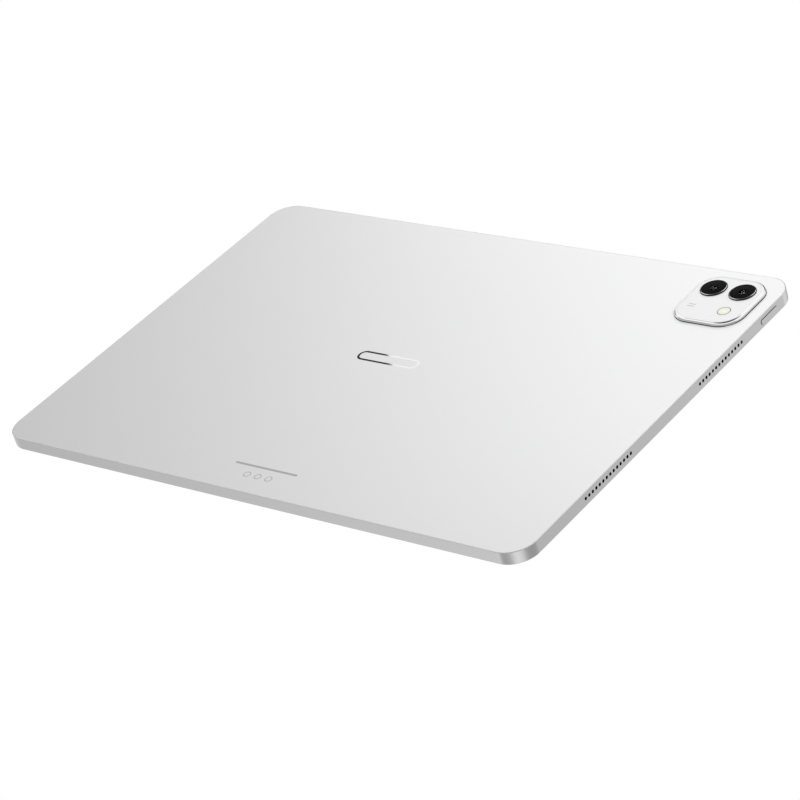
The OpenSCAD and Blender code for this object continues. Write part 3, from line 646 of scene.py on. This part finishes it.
def add_lens_rings():
    """Dark stepped rings with one bright edge, cut from cut_out to cut_in inside the outer wall, in mm."""
    bright = polished_metal("lens_edge_look", (0.8, 0.8, 0.81), 0.15)
    shank_inset = 0.5
    wall = 1.45
    cut_out, cut_in = 0.22, 0.38
    cut_top, cut_foot = 0.01, 0.14
    glass_gap = 0.05
    seat = DECK_TOP / MM
    glass_r = size("main_lens_cover").x / 2 / MM + glass_gap
    glass_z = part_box("main_lens_cover")[0].z / MM
    for node in ("main_lens_ring", "aux_lens_ring"):
        low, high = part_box(node)
        at = (low + high) / 2
        outer, top, bottom = (high.x - low.x) / 2 / MM, high.z / MM, low.z / MM
        bore = outer - wall
        profile = [(bore, bottom), (outer - shank_inset, bottom), (outer - shank_inset, seat), (outer, seat)]
        profile += arc(outer - 0.1, top - 0.32, 0.1, 0, 60)
        profile += [(outer - cut_out, top - cut_foot), (outer - cut_in, top - cut_top)]
        profile += [(outer - 0.42, top), (glass_r + 0.03, top), (glass_r, top - 0.03)]
        profile += [(glass_r, glass_z), (bore, glass_z), (bore, bottom)]
        piece = lathe(f"{node}_detail", profile, at, "lens_ring_metal", node, sharp=25)
        piece.data.materials.append(bright)
        for face in piece.data.polygons:
            reach = math.hypot(face.center.x - at.x, face.center.y - at.y) / MM
            if outer - cut_in < reach < outer - cut_out and face.center.z / MM > top - cut_foot + 0.01:
                face.material_index = 1


# ---------------------------------------------------------------- frame and platform

def darken(piece, chosen):
    """Gives painted shade, a dull near-black, to the faces that a test picks."""
    piece.data.materials.append(PAINTED_SHADE)
    for face in piece.data.polygons:
        if chosen(face.center):
            face.material_index = 1


# The frame's corners, which have no openings, reach this far along each side
CORNER_REACH = 13 * MM
# Heights between which the frame's side is straight
SIDE_LOW = 0.35 * MM
SIDE_HIGH = BACK_Z - 0.4 * MM


def inside_frame(spot):
    """True for a spot in the frame's holes, slots and pockets, which get painted shade."""
    depth_x = FRAME_HIGH.x - abs(spot.x)
    depth_y = FRAME_HIGH.y - abs(spot.y)
    on_side = max(depth_x, depth_y) > CORNER_REACH
    return on_side and min(depth_x, depth_y) > 0.02 * MM and SIDE_LOW < spot.z < SIDE_HIGH


def at_ring_foot(spot):
    """True for a spot on the straight foot of the camera ring's wall, which gets painted shade."""
    reach = max(abs(spot.x - DECK.x), abs(spot.y - DECK.y))
    return spot.z < BACK_Z + 0.25 * MM and reach > DECK_REACH


# ---------------------------------------------------------------- port

def add_port_contacts():
    """Gold contacts on both faces of the port's tongue."""
    low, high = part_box("usb_tongue")
    pitch = 0.5 * MM
    length = 3.6 * MM
    width = 0.24 * MM
    thick = 0.03 * MM
    setback = 0.3 * MM
    count = 12
    bm = bmesh.new()
    for i in range(count):
        y = (i - (count - 1) / 2) * pitch
        for face_z in (low.z - thick / 2, high.z + thick / 2):
            place = Matrix.Translation((low.x + setback + length / 2, y, face_z))
            bmesh.ops.create_cube(bm, size=1, matrix=place @ Matrix.Diagonal((length, width, thick, 1)))
    bmesh.ops.bevel(bm, geom=list(bm.edges), offset=0.01 * MM, segments=2, profile=0.5, affect="EDGES")
    smooth_by_angle(bm)
    paint(add_piece("usb_contacts", bm, "spring_steel"), gold_plate("gold_plate_look"))


# ---------------------------------------------------------------- stage

def add_floor():
    """A pale floor that shows from above only, open below the tablet so that its screen can be seen."""
    low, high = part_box("front_glass")
    reach = 6.0
    inset = 6 * MM
    inner = [(low.x + inset, low.y + inset), (high.x - inset, low.y + inset),
             (high.x - inset, high.y - inset), (low.x + inset, high.y - inset)]
    outer = [(-reach, -reach), (reach, -reach), (reach, reach), (-reach, reach)]
    bm = bmesh.new()
    inner = [bm.verts.new((*corner, low.z)) for corner in inner]
    outer = [bm.verts.new((*corner, low.z)) for corner in outer]
    for i in range(4):
        j = (i + 1) % 4
        bm.faces.new((outer[i], outer[j], inner[j], inner[i]))
    mesh = bpy.data.meshes.new("floor")
    bm.to_mesh(mesh)
    bm.free()
    floor = bpy.data.objects.new("floor", mesh)
    bpy.context.scene.collection.objects.link(floor)
    look = Look("floor_look", (0.0, 0.0, 0.0), 0.8)
    look.set("Specular IOR Level", 0.0)
    look.set("Emission Color", (1, 1, 1, 1))
    look.set("Emission Strength", 1.0)
    below = look.tree.nodes.new("ShaderNodeNewGeometry").outputs["Backfacing"]
    clear = look.tree.nodes.new("ShaderNodeBsdfTransparent")
    switch = look.tree.nodes.new("ShaderNodeMixShader")
    look.link(below, switch.inputs[0])
    look.link(look.shader.outputs["BSDF"], switch.inputs[1])
    look.link(clear.outputs["BSDF"], switch.inputs[2])
    look.link(switch.outputs["Shader"], look.tree.nodes["Material Output"].inputs["Surface"])
    mesh.materials.append(look.material)
    floor.visible_glossy = False


SOFTBOX_SIDE = 0.3


def add_softbox(name, place, power):
    """A square area light that points at the tablet's middle and doesn't show in reflections."""
    data = bpy.data.lights.new(name, "AREA")
    data.shape = "RECTANGLE"
    data.size = SOFTBOX_SIDE
    data.size_y = SOFTBOX_SIDE
    data.energy = power
    light = bpy.data.objects.new(name, data)
    light.location = place
    light.rotation_euler = Vector(place).to_track_quat("Z", "Y").to_euler()
    light.visible_camera = False
    light.visible_glossy = False
    bpy.context.scene.collection.objects.link(light)


# Brightness of the low studio cards round the horizon, by compass angle in degrees from +X
LOW_CARDS = [
    (-180, 0.76), (-160, 0.7), (-147, 0.53), (-131, 1.0), (-112, 0.42), (-90, 0.5), (-52, 1.05),
    (-32, 0.9), (-8, 0.42), (28, 0.4), (44, 0.6), (52, 0.74), (64, 1.0), (78, 0.85), (115, 0.42),
    (142, 0.8), (180, 0.76),
]
# Brightness of the tent above, by the sine of the angle above the horizon
TENT = [(0, 0.6), (0.24, 0.95), (0.42, 1.08), (0.76, 1.08), (0.88, 0.35), (0.95, 0.12), (1, 0.1)]
# Cards in front of the tent: how far they cover it by compass angle and sine of height, and their brightness
BACK_CARDS = (
    [(78, 0), (88, 1), (114, 1), (124, 0), (150, 0), (157, 1), (171, 1), (179, 0)],
    [(-0.25, 0), (-0.12, 1), (0.22, 1), (0.32, 0)],
    0.05,
)
FRONT_CARD = (
    [(-172, 0), (-160, 1), (-20, 1), (0, 0)],
    [(-0.42, 0), (-0.22, 1), (0.3, 1), (0.6, 0)],
    0.4,
)
# A narrow dark gap between two panels of the tent, which part of the mirror-bright mark picks up
GAP = (
    [(137.48, 0), (137.56, 1), (139, 1), (139.2, 0)],
    [(0.46, 0), (0.465, 1), (0.53, 1), (0.535, 0)],
    0.05,
)
# Sine of the angle from the horizon over which the low cards give way to the tent
HORIZON_BLEND = 0.2
# Share of the tent's light that falls on painted surfaces
FILL = 0.52


def add_world():
    """Soft studio light: a bright tent above, grey cards round the horizon and white behind the object."""
    world = bpy.data.worlds.new("studio")
    world.use_nodes = True
    tree = world.node_tree
    add = tree.nodes.new

    def levels(value, stops):
        """Brightness by place. The ramp spans only the stops, because it holds 256 steps."""
        low, high = stops[0][0], stops[-1][0]
        span = add("ShaderNodeMapRange")
        span.inputs["From Min"].default_value = low
        span.inputs["From Max"].default_value = high
        tree.links.new(value, span.inputs["Value"])
        ramp = add("ShaderNodeValToRGB")
        ramp.color_ramp.interpolation = "EASE"
        points = ramp.color_ramp.elements
        while len(points) < len(stops):
            points.new(0.5)
        for point, (place, level) in zip(points, stops):
            point.position = (place - low) / (high - low)
            point.color = (level, level, level, 1)
        tree.links.new(span.outputs["Result"], ramp.inputs["Fac"])
        return ramp.outputs["Color"]

    split = add("ShaderNodeSeparateXYZ")
    tree.links.new(add("ShaderNodeTexCoord").outputs["Generated"], split.inputs["Vector"])
    compass = add("ShaderNodeMath")
    compass.operation = "ARCTAN2"
    tree.links.new(split.outputs["Y"], compass.inputs[0])
    tree.links.new(split.outputs["X"], compass.inputs[1])
    degrees = add("ShaderNodeMath")
    degrees.operation = "DEGREES"
    tree.links.new(compass.outputs[0], degrees.inputs[0])
    cards = levels(degrees.outputs[0], LOW_CARDS)
    tent = levels(split.outputs["Z"], TENT)
    blend = add("ShaderNodeMapRange")
    blend.interpolation_type = "SMOOTHSTEP"
    blend.inputs["From Min"].default_value = -HORIZON_BLEND
    blend.inputs["From Max"].default_value = HORIZON_BLEND
    tree.links.new(split.outputs["Z"], blend.inputs["Value"])
    light = add("ShaderNodeMix")
    light.data_type = "RGBA"
    tree.links.new(blend.outputs["Result"], light.inputs["Factor"])
    tree.links.new(cards, light.inputs["A"])
    tree.links.new(tent, light.inputs["B"])

    for across, upward, card_level in (BACK_CARDS, FRONT_CARD, GAP):
        cover = add("ShaderNodeMath")
        cover.operation = "MULTIPLY"
        tree.links.new(levels(degrees.outputs[0], across), cover.inputs[0])
        tree.links.new(levels(split.outputs["Z"], upward), cover.inputs[1])
        shaded = add("ShaderNodeMix")
        shaded.data_type = "RGBA"
        shaded.inputs["B"].default_value = (card_level, card_level, card_level, 1)
        tree.links.new(cover.outputs[0], shaded.inputs["Factor"])
        tree.links.new(light.outputs["Result"], shaded.inputs["A"])
        light = shaded

    background = tree.nodes["Background"]
    tree.links.new(light.outputs["Result"], background.inputs["Color"])
    path = add("ShaderNodeLightPath")
    fill = add("ShaderNodeMapRange")
    fill.inputs["To Min"].default_value = 1
    fill.inputs["To Max"].default_value = FILL
    tree.links.new(path.outputs["Is Diffuse Ray"], fill.inputs["Value"])
    tree.links.new(fill.outputs["Result"], background.inputs["Strength"])
    backdrop = add("ShaderNodeBackground")
    backdrop.inputs["Color"].default_value = (1, 1, 1, 1)
    switch = add("ShaderNodeMixShader")
    tree.links.new(path.outputs["Is Camera Ray"], switch.inputs[0])
    tree.links.new(background.outputs[0], switch.inputs[1])
    tree.links.new(backdrop.outputs[0], switch.inputs[2])
    tree.links.new(switch.outputs[0], tree.nodes["World Output"].inputs["Surface"])
    bpy.context.scene.world = world


# ---------------------------------------------------------------- build

add_camera()
# Every CAD node takes its slot's look, also where a detailed piece stands for it below
for node, obj in NODES.items():
    obj.data.materials.clear()
    obj.data.materials.append(LOOKS[SLOT_OF[node]])

# The walls of the frame's holes, slots and pockets get painted shade.
darken(softened("side_frame", 0.05 * MM), inside_frame)
softened("rear_cover", 0.08 * MM)
# The straight foot of the camera ring's wall gets painted shade, a near-black band where it meets the back.
darken(softened("camera_ring", 0.03 * MM), at_ring_foot)
softened("camera_deck", 0.03 * MM)
softened("power_button", 0.09 * MM, 3)
softened("volume_rocker", 0.09 * MM, 3)
softened("front_glass", 0.2 * MM, 4)
softened("usb_shell", 0.06 * MM)
softened("usb_tongue", 0.1 * MM)
softened("flash_lens", 0.06 * MM)
add_lens_rings()
add_cameras()
add_port_contacts()

add_floor()
add_world()
for name, place, power in (("right_box", (0.2, 0, 0.25), 0.5), ("rear_box", (0, 0.3, 0.25), 0.79)):
    add_softbox(name, place, power)
bpy.context.scene.view_settings.view_transform = "Standard"
